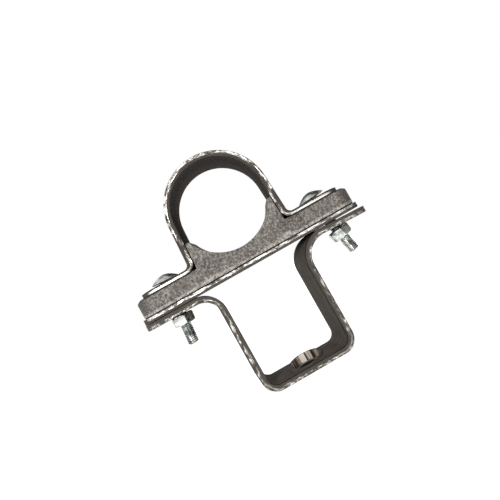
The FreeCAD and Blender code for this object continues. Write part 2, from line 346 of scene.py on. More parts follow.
def flat_bar(outline, bottom, tips, holes, corners, recess, seed, step=1.0):
    """Flat bar with round ends, laid straight, as a grid of stations along it and rows around its section.

    A station is a distance along the top outline, with the end arcs before and after. At a station the
    rows go from the middle of the underside out to the rim, round the lower corner, up the cut edge,
    round the upper corner and back over the top to the middle, and down a hole's wall to close.
    Each row is the outline moved inward by an inset, or a share of the way from the rim to the middle.
    Returns along, rise and aside for both halves, the bar coordinate, faces and the shiny faces.
    """
    total = path_length(outline)
    corner_angle = math.asin(HALF_WIDTH / END_RADIUS)
    lead = END_RADIUS - END_RADIUS * math.cos(corner_angle)
    stations = []
    for distance in np.linspace(lead, total - lead, int((total - 2 * lead) / step) + 1):
        place, _ = follow_path(outline, np.array([distance]))
        if all(abs(place[0, 0] - h["at"]) > h["half_along"] + CLEAR_OF_HOLE for h in holes):
            stations.append((distance, -1, 0.0))
    for index, hole in enumerate(holes):
        for angle in np.linspace(math.pi, 0, hole["stations"]):
            where, _ = hole_outline(hole, np.array(angle), 0.0)
            stations.append((hole["distance"] + float(where) - hole["at"], index, angle))
    stations.sort(key=lambda s: (s[0], -s[2]))
    distance, which, turn = (np.array(column) for column in zip(*stations))
    top, normal = follow_path(outline, distance)
    arc = np.linspace(0, corner_angle, END_STATIONS)[:-1]
    count = len(arc)
    plan_angle = np.concatenate([math.pi - arc, np.full(len(distance), math.pi / 2), arc[::-1]])
    end = np.concatenate([np.full(count, -1), np.zeros(len(distance), int), np.full(count, 1)])
    start_top, _ = follow_path(outline, np.array([0.0, total]))
    top = np.concatenate([np.repeat(start_top[:1], count, 0), top, np.repeat(start_top[1:], count, 0)])
    up = np.repeat([[0.0, 1.0]], count, 0)
    normal = np.concatenate([up, normal, up])
    which = np.concatenate([np.full(count, -1), which, np.full(count, -1)])
    turn = np.concatenate([np.zeros(count), turn, np.zeros(count)])

    low_corner, high_corner = corners
    quarter = np.radians(np.linspace(0, 90, CORNER_ROWS))
    rows = [("low", low_corner, 0.0, share) for share in FACE_SHARES]
    for t in quarter:
        rows.append(("low", low_corner * (1 - math.sin(t)), low_corner * (1 - math.cos(t)), 0.0))
    for g in np.linspace(0, 1, EDGE_ROWS)[1:-1]:
        rows.append(("wall", recess * math.sin(math.pi * g) * (1.4 if g > 0.5 else 0.3), g, 0.0))
    for t in quarter[::-1]:
        rows.append(("high", high_corner * (1 - math.sin(t)), high_corner * (1 - math.cos(t)), 0.0))
    rows += [("high", high_corner, 0.0, share) for share in FACE_SHARES[::-1]]

    station_count = len(end)
    plain_rows = len(rows)
    row_count = plain_rows + max(len(h["wall"]) for h in holes) - 2
    along = np.zeros((station_count, row_count))
    rise = np.zeros_like(along)
    aside = np.zeros_like(along)
    around = np.zeros_like(along)
    mean_height = float(np.mean(start_top[:, 1])) - bottom
    middle_end = END_RADIUS - HALF_WIDTH
    for index, (kind, inset, depth, share) in enumerate(rows):
        if kind == "low":
            base_a, base_n = top[:, 0], np.full(station_count, bottom + depth)
        elif kind == "high":
            base_a, base_n = top[:, 0] - normal[:, 0] * depth, top[:, 1] - normal[:, 1] * depth
        else:
            foot_n = bottom + low_corner
            head_a = top[:, 0] - normal[:, 0] * high_corner
            head_n = top[:, 1] - normal[:, 1] * high_corner
            base_a = top[:, 0] + (head_a - top[:, 0]) * depth
            base_n = foot_n + (head_n - foot_n) * depth
        moved = inset + UNEVEN * (1 + waviness(top[:, 0] + 3 * np.cos(plan_angle), seed, UNEVEN_LENGTH))
        centre = np.where(end < 0, tips[0] + END_RADIUS, tips[1] - END_RADIUS)
        rim_a = np.where(end == 0, base_a, centre + (END_RADIUS - moved) * np.cos(plan_angle))
        rim_y = np.where(end == 0, HALF_WIDTH - moved, (END_RADIUS - moved) * np.sin(plan_angle))
        inner_a = np.where(end == 0, base_a, centre + end * middle_end)
        inner_y = np.zeros(station_count)
        for number, hole in enumerate(holes):
            grow, height = hole["wall"][0] if kind == "high" else hole["wall"][-1]
            edge_a, edge_y = hole_outline(hole, turn, grow)
            inner_a = np.where(which == number, edge_a - hole["lean"] * height, inner_a)
            inner_y = np.where(which == number, edge_y, inner_y)
        along[:, index] = rim_a + (inner_a - rim_a) * share
        aside[:, index] = rim_y + (inner_y - rim_y) * share
        rise[:, index] = base_n
        reach = HALF_WIDTH * share
        around[:, index] = {"low": -reach - inset + depth, "wall": depth * mean_height,
                            "high": mean_height + reach + inset - depth}[kind]
    polished = np.zeros(row_count - plain_rows, bool)
    for number, hole in enumerate(holes):
        middle = (hole["top"] + bottom) / 2
        here = which == number
        wall = hole["wall"][1:-1]
        for index in range(row_count - plain_rows):
            grow, height = wall[min(index, len(wall) - 1)]
            edge_a, edge_y = hole_outline(hole, turn[here], grow)
            along[here, plain_rows + index] = edge_a - hole["lean"] * height
            aside[here, plain_rows + index] = edge_y
            rise[here, plain_rows + index] = middle + height
            around[here, plain_rows + index] = mean_height + WALL_START + height
            polished[index] = polished[index] or (hole["drawn"] and grow < 0.2)

    grid = np.arange(station_count * row_count).reshape(station_count, row_count)
    first = grid[:-1]
    second = grid[1:]
    quads = np.stack([first, second, np.roll(second, -1, 1), np.roll(first, -1, 1)], -1)
    same_hole = (which[:-1] == which[1:]) & (which[:-1] >= 0)
    keep = np.ones((station_count - 1, row_count), bool)
    keep[:, plain_rows - 1:] = same_hole[:, None]
    shiny = np.zeros_like(keep)
    for number, hole in enumerate(holes):
        if hole["drawn"]:
            shiny[:, plain_rows:] |= (which[:-1] == number)[:, None] & polished
    quads, shiny = quads[keep], shiny[keep]
    both = np.concatenate([quads, quads[:, ::-1] + station_count * row_count])
    return (np.concatenate([along.ravel(), along.ravel()]), np.concatenate([rise.ravel(), rise.ravel()]),
            np.concatenate([aside.ravel(), -aside.ravel()]), np.concatenate([around.ravel(), around.ravel()]),
            both, np.concatenate([shiny, shiny]))


def upper_path():
    """Inner face of the upper strap: foot, bend, leg, ring over the pipe, leg, bend, foot."""
    splay = math.radians(LEG_SPLAY_DEG)
    bend = UPPER_FOOT_BEND + UPPER_FOOT_THICKNESS
    foot_z = UPPER_FOOT_TOP - UPPER_FOOT_THICKNESS
    bend_z = foot_z + bend
    bend_x = (BORE_RADIUS + bend - bend_z * math.sin(splay)) / math.cos(splay)
    leg_foot = (bend_x - bend * math.cos(splay), bend_z - bend * math.sin(splay))
    leg_head = (BORE_RADIUS * math.cos(splay), BORE_RADIUS * math.sin(splay))
    return [
        ("straight", (-UPPER_TIP, foot_z), (-bend_x, foot_z)),
        ("bend", (-bend_x, bend_z), bend, 270, 360 - LEG_SPLAY_DEG),
        ("straight", (-leg_foot[0], leg_foot[1]), (-leg_head[0], leg_head[1])),
        ("bend", (0.0, 0.0), BORE_RADIUS, 180 - LEG_SPLAY_DEG, LEG_SPLAY_DEG),
        ("straight", leg_head, leg_foot),
        ("bend", (bend_x, bend_z), bend, 180 + LEG_SPLAY_DEG, 270),
        ("straight", (bend_x, foot_z), (UPPER_TIP, foot_z)),
    ]


def upper_depth(distance):
    """Thickness of the upper strap at each distance along its inner face.

    The feet are thin and the ring is thick. Between them the outer face is an arc about a centre that
    lies further out than the inner bend's, so the thickness is the way from one arc to the other.
    """
    runs = upper_path()
    inner = UPPER_FOOT_BEND + UPPER_FOOT_THICKNESS
    offset = (UPPER_THICKNESS - UPPER_FOOT_THICKNESS) / math.cos(math.radians(LEG_SPLAY_DEG))
    from_tip = np.minimum(distance, path_length(runs) - distance)
    past = from_tip - run_length(runs[0])
    before = np.clip(past + offset, 0.0, offset)
    on_foot = UPPER_FOOT_THICKNESS + UPPER_FOOT_BEND - np.sqrt(UPPER_FOOT_BEND ** 2 - before ** 2)
    turn = np.clip(past / inner, 0.0, math.radians(90 - LEG_SPLAY_DEG))
    way = np.sqrt(UPPER_FOOT_BEND ** 2 - (offset * np.cos(turn)) ** 2) - offset * np.sin(turn)
    return np.where(past < 0, on_foot, inner - way)


def lower_path():
    """Middle line of the lower strap: foot, bend, leg, corner, bottom, corner, leg, bend, drooping foot."""
    half = LOWER_THICKNESS / 2
    floor = LOWER_BOTTOM + half
    corner = LOWER_BOTTOM_BEND + half
    wall = LOWER_INNER_HALF + half
    corner_z = floor + corner
    corner_x = wall - corner
    foot_z = LOWER_FOOT_TOP - half
    left_bend = LOWER_TOP_BEND[-1] + half
    right_bend = LOWER_TOP_BEND[1] + half
    left_x = LOWER_LEGS_X - wall - left_bend
    right_x = LOWER_LEGS_X + wall + right_bend
    left_z = foot_z - left_bend
    right_z = foot_z - right_bend
    droop = math.radians(LOWER_DROOP_DEG)
    foot_start = (right_x + right_bend * math.sin(droop), right_z + right_bend * math.cos(droop))
    reach = (LOWER_TIPS[1] - foot_start[0]) / math.cos(droop)
    foot_end = (LOWER_TIPS[1], foot_start[1] - reach * math.sin(droop))
    return [
        ("straight", (LOWER_TIPS[0], foot_z), (left_x, foot_z)),
        ("bend", (left_x, left_z), left_bend, 90, 0),
        ("straight", (LOWER_LEGS_X - wall, left_z), (LOWER_LEGS_X - wall, corner_z)),
        ("bend", (LOWER_LEGS_X - corner_x, corner_z), corner, 180, 270),
        ("straight", (LOWER_LEGS_X - corner_x, floor), (LOWER_LEGS_X + corner_x, floor)),
        ("bend", (LOWER_LEGS_X + corner_x, corner_z), corner, 270, 360),
        ("straight", (LOWER_LEGS_X + wall, corner_z), (LOWER_LEGS_X + wall, right_z)),
        ("bend", (right_x, right_z), right_bend, 180, 90 - LOWER_DROOP_DEG),
        ("straight", foot_start, foot_end),
    ]


def bolt_x_at(side, z):
    """Where a bolt's leaning line crosses a height."""
    return BOLT_HEAD_X[side] + side * (BOLT_HEAD_Z[side] - z) * math.tan(BOLT_LEAN[side])


def bent_bar(name, runs, thickness, holes, corners, recess, seed, skew, materials, depth=None):
    """Flat bar carried along a bent path: a point goes along the path, off it by its rise, and aside.

    With a skew, the bends run askew: a point at the rear lies further along the path and is moved back
    along X by the same amount, so the flat parts keep their outline. With a depth, the path is one face
    of the bar, and the rise is stretched to the thickness that the bar has at each distance. A collar
    above the bar is full at the rear and falls to a share of its height at the front.
    """
    total = path_length(runs)
    half = thickness / 2
    flat = [("straight", (0.0, half), (total, half))]
    for hole in holes:
        hole["distance"] = hole["at"]
        hole["top"] = half
    along, rise, aside, around, faces, shiny = flat_bar(
        flat, -half, (0.0, total), holes, corners, recess, seed)
    if depth is not None:
        rise = (rise + half) / thickness * depth(along)
    else:
        rear = np.clip(0.5 + aside / (2 * FORMED_HOLE_RADIUS), 0, 1)
        share = COLLAR_FRONT_SHARE + (1 - COLLAR_FRONT_SHARE) * rear
        rise = np.where(rise > half, half + (rise - half) * share, rise)
    place, normal = follow_path(runs, along + aside * skew)
    points = np.stack([place[:, 0] + normal[:, 0] * rise - aside * skew, aside,
                       place[:, 1] + normal[:, 1] * rise], -1)
    bar = np.stack([along, around, aside], -1)
    return mesh_object(name, points, faces, materials, shiny.astype(int), bar)


def upper_strap(materials):
    """Upper strap with its two square holes."""
    runs = upper_path()
    total = path_length(runs)
    foot_middle = UPPER_FOOT_TOP - UPPER_FOOT_THICKNESS / 2
    holes = []
    for side in (-1, 1):
        lean = math.tan(HEAD_LEAN[side])
        drift = OPENING * math.tan(BOLT_LEAN[side])
        below = BOLT_HEAD_Z[side] - (UPPER_FOOT_TOP - UPPER_FOOT_THICKNESS)
        stray = below * (math.tan(BOLT_LEAN[side]) - lean)
        neck_x = BOLT_HEAD_X[side] + side * (BOLT_HEAD_Z[side] - foot_middle) * lean
        centre = neck_x - side * (drift - stray) / 2
        at = centre + UPPER_TIP if side < 0 else total - (UPPER_TIP - centre)
        hole = round_hole(at, side * lean * UPPER_FOOT_THICKNESS / UPPER_THICKNESS, UPPER_THICKNESS)
        hole["half_along"] = NECK_HALF + NECK_ROOM + (drift + stray) / 2
        hole["half_aside"] = NECK_HALF + NECK_ROOM
        hole["power"] = NECK_HOLE_POWER
        holes.append(hole)
    return bent_bar("bent_upper_strap", runs, UPPER_THICKNESS, holes, (0.5, 0.6), 0.16, 3, 0.0, materials,
                    upper_depth)


def lower_strap(materials):
    """Lower strap with its two round holes and the drawn hole in its bottom."""
    runs = lower_path()
    total = path_length(runs)
    half = LOWER_THICKNESS / 2
    holes = []
    for side in (-1, 1):
        where = bolt_x_at(side, LOWER_FOOT_TOP - half)
        at = where - LOWER_TIPS[0] if side < 0 else total - (LOWER_TIPS[1] - where)
        holes.append(round_hole(at, side * math.tan(BOLT_LEAN[side]), LOWER_THICKNESS))
    before_bottom = path_length(runs[:4])
    at = before_bottom + FORMED_HOLE_X - runs[4][1][0]
    holes.insert(1, {"at": at, "half_along": FORMED_HOLE_RADIUS, "half_aside": FORMED_HOLE_RADIUS,
                     "power": 2.0, "wall": formed_hole_wall(LOWER_THICKNESS), "lean": 0.0,
                     "stations": 49, "drawn": True})
    return bent_bar("bent_lower_strap", runs, LOWER_THICKNESS, holes, (0.6, 0.5), 0.16, 7, LOWER_SKEW,
                    materials)


def straight_bar(name, outline, bottom, top, tip, holes, corners, recess, seed, materials,
                 step=1.0, drop=0.0):
    """Bar that isn't bent: along is X and rise is Z. Its top follows an outline of runs and bends.

    With a drop, the top slopes down by it over the last stretch at both ends, and the heights between
    bottom and top are squeezed to fit.
    """
    for hole in holes:
        hole["top"] = top
        hole["distance"] = hole["at"] + tip if hole["at"] < 0 else path_length(outline) - tip + hole["at"]
    along, rise, aside, around, faces, shiny = flat_bar(
        outline, bottom, (-tip, tip), holes, corners, recess, seed, step)
    lowered = drop * np.clip((np.abs(along) - tip) / SADDLE_END_RUN + 1, 0, 1)
    rise = np.where(lowered > 0, bottom + (rise - bottom) * (1 - lowered / (top - bottom)), rise)
    points = np.stack([along, aside, rise], -1)
    bar = np.stack([along, around, aside], -1)
    return mesh_object(name, points, faces, materials, shiny.astype(int), bar)


def leaning_holes(bottom, top, rise):
    """Round holes of a bar around both leaning bolts, wide enough for the bar to rise along them."""
    holes = []
    for side in (-1, 1):
        radius = HOLE_RADIUS + rise * math.sin(BOLT_LEAN[side]) / 2
        at = bolt_x_at(side, (top + bottom) / 2 + rise / 2)
        holes.append(round_hole(at, side * math.tan(BOLT_LEAN[side]), top - bottom, radius))
    return holes


def base_plate(materials):
    """Flat plate with a hole near each end."""
    holes = leaning_holes(PLATE_BOTTOM, PLATE_TOP, OPENING / 3)
    outline = [("straight", (-PLATE_TIP, PLATE_TOP), (PLATE_TIP, PLATE_TOP))]
    return straight_bar("flat_base_plate", outline, PLATE_BOTTOM, PLATE_TOP, PLATE_TIP, holes, (0.5, 0.5),
                        0.12, 11, materials)


def rounded_outline(corners):
    """Runs and bends through corner points, each rounded by its own radius, tangent to both sides."""
    runs = []
    last = np.array(corners[0][:2])
    for before, here, after in zip(corners, corners[1:], corners[2:]):
        into = np.array(here[:2]) - np.array(before[:2])
        out = np.array(after[:2]) - np.array(here[:2])
        into = into / np.linalg.norm(into)
        out = out / np.linalg.norm(out)
        bend = math.atan2(into[0] * out[1] - into[1] * out[0], float(into @ out))
        cut = here[2] * math.tan(abs(bend) / 2)
        start = np.array(here[:2]) - into * cut
        side = math.copysign(1, bend)
        centre = start + side * here[2] * np.array([-into[1], into[0]])
        runs.append(("straight", tuple(last), tuple(start)))
        from_deg = math.degrees(math.atan2(start[1] - centre[1], start[0] - centre[0]))
        runs.append(("bend", tuple(centre), here[2], from_deg, from_deg + math.degrees(bend)))
        last = np.array(here[:2]) + out * cut
    runs.append(("straight", tuple(last), tuple(corners[-1][:2])))
    return runs


def saddle_outline():
    """Top of the saddle from end to end: bar, horn, seat, horn, bar. The seat is the arc of the bore."""
    splay = math.radians(LEG_SPLAY_DEG)

    def horn_x(z):
        return (BORE_RADIUS - HORN_GAP - z * math.sin(splay)) / math.cos(splay)

    seat_x = math.sqrt(BORE_RADIUS ** 2 - HORN_TIP ** 2)
    seat_deg = math.degrees(math.atan2(-HORN_TIP, seat_x))
    root_x, tip_x = horn_x(SADDLE_TOP), horn_x(HORN_TIP)
    left = rounded_outline([
        (-SADDLE_TIP, SADDLE_TOP), (-root_x, SADDLE_TOP, HORN_ROOT_RADIUS),
        (-tip_x, HORN_TIP, HORN_TIP_RADIUS), (-seat_x, HORN_TIP)])
    right = rounded_outline([
        (seat_x, HORN_TIP), (tip_x, HORN_TIP, HORN_TIP_RADIUS),
        (root_x, SADDLE_TOP, HORN_ROOT_RADIUS), (SADDLE_TIP, SADDLE_TOP)])
    seat = ("bend", (0.0, 0.0), BORE_RADIUS, 180 + seat_deg, 360 - seat_deg)
    return left + [seat] + right


def saddle(materials):
    """Saddle block with its bolt holes, as wide as the straps."""
    holes = leaning_holes(SADDLE_BOTTOM, SADDLE_TOP, OPENING * 2 / 3)
    return straight_bar("saddle_block", saddle_outline(), SADDLE_BOTTOM, SADDLE_TOP, SADDLE_TIP, holes,
                        (0.9, 0.5), 0.0, 13, materials, 0.5, SADDLE_END_DROP)


def on_bolt(side, points, distance, lean):
    """Points made about an upright line through the origin, put on the bolt's leaning line."""
    cos, sin = math.cos(lean), math.sin(lean)
    x, y, z = points[..., 0], points[..., 1], points[..., 2]
    turned = np.stack([x * cos - side * z * sin, y, side * x * sin + z * cos], -1)
    start = np.array([BOLT_HEAD_X[side] + side * sin * distance, 0.0, BOLT_HEAD_Z[side] - cos * distance])
    return turned + start


def round_grid(radius, height, turns, closed_ends=True):
    """Surface around an upright line: rows of radius and height over every direction, with closed poles."""
    directions = np.linspace(0, 2 * math.pi, turns, endpoint=False)
    x = radius * np.cos(directions)
    y = radius * np.sin(directions)
    z = np.broadcast_to(height, x.shape)
    points = np.stack([x, y, z], -1)
    grid = np.arange(points.shape[0] * turns).reshape(points.shape[0], turns)
    quads = np.stack([grid[:-1], np.roll(grid[:-1], -1, 1), np.roll(grid[1:], -1, 1), grid[1:]], -1)
    if not closed_ends:
        seam = np.stack([grid[-1], np.roll(grid[-1], -1), np.roll(grid[0], -1), grid[0]], -1)
        quads = np.concatenate([quads, seam[None]])
    return points.reshape(-1, 3), quads.reshape(-1, 4)


def carriage_bolt(side, material):
    """Round-head bolt: dome, rim, square neck, shank and a helical thread.

    The radius is a function of height and direction. The dome's height falls with a power of the radius.
    On the neck the radius is a square with soft corners, and on the thread a rounded ridge that climbs
    one pitch a turn and fades in below the plain shank. The right bolt is bent where its neck ends.
    """
    turns = BOLT_DIRECTIONS
    directions = np.linspace(0, 2 * math.pi, turns, endpoint=False)
    dome = np.sin(np.linspace(0, math.pi / 2, 17))
    dome_radius = HEAD_RADIUS * dome
    dome_height = HEAD_RIM + (HEAD_HEIGHT - HEAD_RIM) * (1 - dome ** DOME_POWER)
    rows_radius = [np.full(turns, r) for r in dome_radius]
    rows_height = list(dome_height)
    for trim, height in ((0.0, HEAD_RIM * 0.45), (0.15, 0.08), (0.4, 0.0)):
        rows_radius.append(np.full(turns, HEAD_RADIUS - trim))
        rows_height.append(height)
    across = np.abs(np.cos(directions)) ** NECK_POWER + np.abs(np.sin(directions)) ** NECK_POWER
    square = NECK_HALF / across ** (1 / NECK_POWER)
    for blend, height in ((1.02, 0.0), (1.0, -0.25), (1.0, -NECK_HEIGHT + 0.15), (0.95, -NECK_HEIGHT)):
        rows_radius.append(square * blend)
        rows_height.append(height)
    head_points = len(rows_height) * turns
    rows_radius.append(np.full(turns, BOLT_RADIUS - 0.15))
    rows_height.append(-NECK_HEIGHT)
    top = -BOLT_LENGTH + THREAD_LENGTH
    rows = int(THREAD_LENGTH / THREAD_PITCH * ROWS_PER_PITCH)
    for z in np.linspace(top, -BOLT_LENGTH, rows + 1):
        phase = (z / THREAD_PITCH + directions / (2 * math.pi)) % 1.0
        ridge = 1 - np.clip(np.abs(phase - 0.5) * 2 * 1.25 - 0.08, 0, 1)
        fade = min(1.0, max(0.0, (top - z) / (2 * THREAD_PITCH)))
        crest = BOLT_RADIUS - max(0.0, (-BOLT_LENGTH + 1.0) - z) * 0.95
        radius = BOLT_RADIUS - THREAD_DEPTH * (1 - ridge) * fade
        rows_radius.append(np.minimum(radius, crest))
        rows_height.append(z)
    rows_radius.append(np.full(turns, THREAD_END_RADIUS))
    rows_height.append(-BOLT_LENGTH)
    rows_radius.append(np.zeros(turns))
    rows_height.append(-BOLT_LENGTH)
    points, faces = round_grid(np.array(rows_radius), np.array(rows_height)[:, None], turns)
    name = "left_carriage_bolt" if side < 0 else "right_carriage_bolt"
    placed = np.concatenate([on_bolt(side, points[:head_points], 0.0, HEAD_LEAN[side]),
                             on_bolt(side, points[head_points:], 0.0, BOLT_LEAN[side])])
    return mesh_object(name, placed, faces, [material], smooth_deg=48)


def hexagon_nut(side, material):
    """Hexagon nut: for each direction, the radius of a hexagon cut by a cone of 30 degrees at each face."""
    turns = NUT_DIRECTIONS
    directions = np.linspace(0, 2 * math.pi, turns, endpoint=False)
    first = math.radians(NUT_FACET_DEG[side] - 60)
    past = (directions - first) % (math.pi / 3) - math.pi / 6
    corner = NUT_FLATS / math.sqrt(3) - NUT_CORNER_CUT
    flat = np.minimum(NUT_FLATS / 2 / np.cos(past), corner)
    slope = math.tan(math.radians(30))
    drop = np.maximum(flat - NUT_FACE, 0) * slope
    rows = [(NUT_BORE, -NUT_BORE_CUT), (NUT_BORE + NUT_BORE_CUT, 0.0), (NUT_FACE, 0.0)]
    for share in (0.5, 0.94):
        rows.append((NUT_FACE + (flat - NUT_FACE) * share, -drop * share))
    for share in (0.0, 0.08, 0.5, 0.92, 1.0):
        soft = NUT_EDGE if share in (0.0, 1.0) else 0.0
        rows.append((flat - soft, -drop - NUT_EDGE + (2 * drop - NUT_HEIGHT + 2 * NUT_EDGE) * share))
    for share in (0.94, 0.5):
        rows.append((NUT_FACE + (flat - NUT_FACE) * share, -NUT_HEIGHT + drop * share))
    rows += [(NUT_FACE, -NUT_HEIGHT), (NUT_BORE + NUT_BORE_CUT, -NUT_HEIGHT),
             (NUT_BORE, -NUT_HEIGHT + NUT_BORE_CUT)]
    radius = np.array([np.broadcast_to(r, turns) for r, _ in rows])
    height = np.array([np.broadcast_to(h, turns) for _, h in rows])
    points, faces = round_grid(radius, height, turns, closed_ends=False)
    name = "left_hexagon_nut" if side < 0 else "right_hexagon_nut"
    placed = on_bolt(side, points, NUT_DISTANCE[side], BOLT_LEAN[side])
    return mesh_object(name, placed, faces, [material], smooth_deg=25)


def rolled_steel(name, faces, edges, thickness, middle, ring_reach, foot_reach, dark_tip, rubbed,
                 shade_band, seed):
    """Hot-rolled flat bar, cut to length: dark scale with long rolling streaks on its faces.

    Its cut edges have a rubbed bright band beside a torn dull one, as shears leave them. The band is on
    the outer side up to ring_reach from the middle, on the inner side to foot_reach, and then outside
    again, and rubbed says from which level of its noise it is worn bare. Past dark_tip from the middle
    it is dull. The faces have a band of painted shade that fades in between the first two distances aside
    given for it and out between the next two, and on the outer face only the last share of it is left.
    The bar coordinate gives millimetres along the bar, around its section and aside, and the edge lies
    between zero and the thickness.
    """
    material, tree = new_material(name)
    bar = bar_coordinate(tree)
    along, around, aside = add(tree, "SeparateXYZ", None, {0: bar}).outputs
    place = vector(tree, "ADD", {0: bar, 1: (seed * 13.0, seed * 7.0, 0.0)})

    streak_place = vector(tree, "MULTIPLY", {0: place, 1: (0.02, 0.5, 0.5)})
    streaks = noise(tree, {"Vector": streak_place, "Scale": 1.0, "Detail": 5.0})
    blotch = noise(tree, {"Vector": place, "Scale": 0.16, "Detail": 6.0, "Roughness": 0.65})
    mixed = maths(tree, "ADD", {0: streaks, 1: blotch})
    face_share = remap(tree, {0: mixed, 1: 0.75, 2: 1.3})
    face = mix(tree, {0: face_share, 6: linear(faces[0]), 7: linear(faces[1])})
    rub_place = vector(tree, "MULTIPLY", {0: place, 1: (0.05, 1.6, 1.6)})
    rub_and_highlight = noise(tree, {"Vector": rub_place, "Scale": 1.0, "Detail": 3.0})
    rub_share = remap(tree, {0: rub_and_highlight, 1: 0.66, 2: 0.78, 3: 0.0, 4: 0.35})
    face = mix(tree, {0: rub_share, 6: face, 7: linear(faces[2])})
    # Painted shade: the faces turn near black (#120e0c) in a band between the distances aside given for it,
    # darker on the inner face than on the outer
    shade_in = remap(tree, {0: aside, 1: shade_band[0], 2: shade_band[1], 3: 0.25, 4: 0.85})
    shade_out = remap(tree, {0: aside, 1: shade_band[2], 2: shade_band[3], 3: 1.0, 4: 0.0})
    painted_shade = maths(tree, "MULTIPLY", {0: shade_in, 1: shade_out})
    side = remap(tree, {0: around, 1: -0.5, 2: 0.5, 3: 1.0, 4: shade_band[4]})
    painted_shade = maths(tree, "MULTIPLY", {0: painted_shade, 1: side})
    face = mix(tree, {0: painted_shade, 6: face, 7: linear("#120e0c")})

    height = maths(tree, "DIVIDE", {0: around, 1: thickness})
    slow_place = vector(tree, "MULTIPLY", {0: place, 1: (0.07, 0.02, 1.0)})
    slow = noise(tree, {"Vector": slow_place, "Scale": 1.0, "Detail": 4.0, "Roughness": 0.6})
    border = remap(tree, {0: slow, 1: 0.3, 2: 0.7, 3: 0.32, 4: 0.68}, clamp=False)
    off = maths(tree, "SUBTRACT", {0: height, 1: border})
    from_middle = maths(tree, "SUBTRACT", {0: along, 1: middle})
    from_middle = maths(tree, "ABSOLUTE", {0: from_middle})
    outer = remap(tree, {0: from_middle, 1: ring_reach - 4, 2: ring_reach + 4, 3: 1.0, 4: -1.0})
    foot = remap(tree, {0: from_middle, 1: foot_reach, 2: foot_reach + 4, 3: 0.0, 4: 2.0})
    signed = maths(tree, "MULTIPLY", {0: off, 1: outer})
    signed = maths(tree, "MULTIPLY_ADD", {0: foot, 1: 0.06, 2: signed})
    bright = remap(tree, {0: signed, 1: -0.06, 2: 0.08})
    fleck_place = vector(tree, "MULTIPLY", {0: place, 1: (0.22, 1.2, 1.0)})
    fleck = noise(tree, {"Vector": fleck_place, "Scale": 1.1, "Detail": 4.0, "Roughness": 0.7})
    patch = noise(tree, {"Vector": place, "Scale": 0.13, "Detail": 2.0})
    level = maths(tree, "MULTIPLY_ADD", {0: patch, 1: 0.35, 2: fleck})
    level = maths(tree, "MULTIPLY_ADD", {0: foot, 1: 0.09, 2: level})
    worn = remap(tree, {0: level, 1: rubbed, 2: rubbed + 0.16})
    bright = maths(tree, "MULTIPLY", {0: bright, 1: worn})
    tip = remap(tree, {0: from_middle, 1: dark_tip, 2: dark_tip + 3, 3: 1.0, 4: 0.2})
    bright = maths(tree, "MULTIPLY", {0: bright, 1: tip})
    shine = remap(tree, {0: level, 1: rubbed + 0.08, 2: rubbed + 0.22})
    bare_steel = mix(tree, {0: shine, 6: linear(edges[2]), 7: linear(edges[3])})
    edge_low = mix(tree, {0: fleck, 6: linear(edges[0]), 7: linear(edges[1])})
    edge = mix(tree, {0: bright, 6: edge_low, 7: bare_steel})
    edge = mix(tree, {0: tip, 6: linear(faces[1]), 7: edge})

    above = remap(tree, {0: around, 1: 0.0, 2: 0.35})
    below = remap(tree, {0: around, 1: thickness - 0.35, 2: thickness, 3: 1.0, 4: 0.0})
    on_edge = maths(tree, "MULTIPLY", {0: above, 1: below})
    colour = mix(tree, {0: on_edge, 6: face, 7: edge})
    bare = maths(tree, "MULTIPLY", {0: bright, 1: on_edge})
    metallic = remap(tree, {0: bare, 3: 0.0, 4: 0.75})
    roughness = remap(tree, {0: bare, 3: 0.75, 4: 0.38})
    grain = noise(tree, {"Vector": place, "Scale": 2.2, "Detail": 5.0, "Roughness": 0.7})
    surface(tree, 0.35, 0.00025, grain, {
        "Base Color": colour, "Metallic": metallic, "Roughness": roughness, "Specular IOR Level": 0.1})
    return material


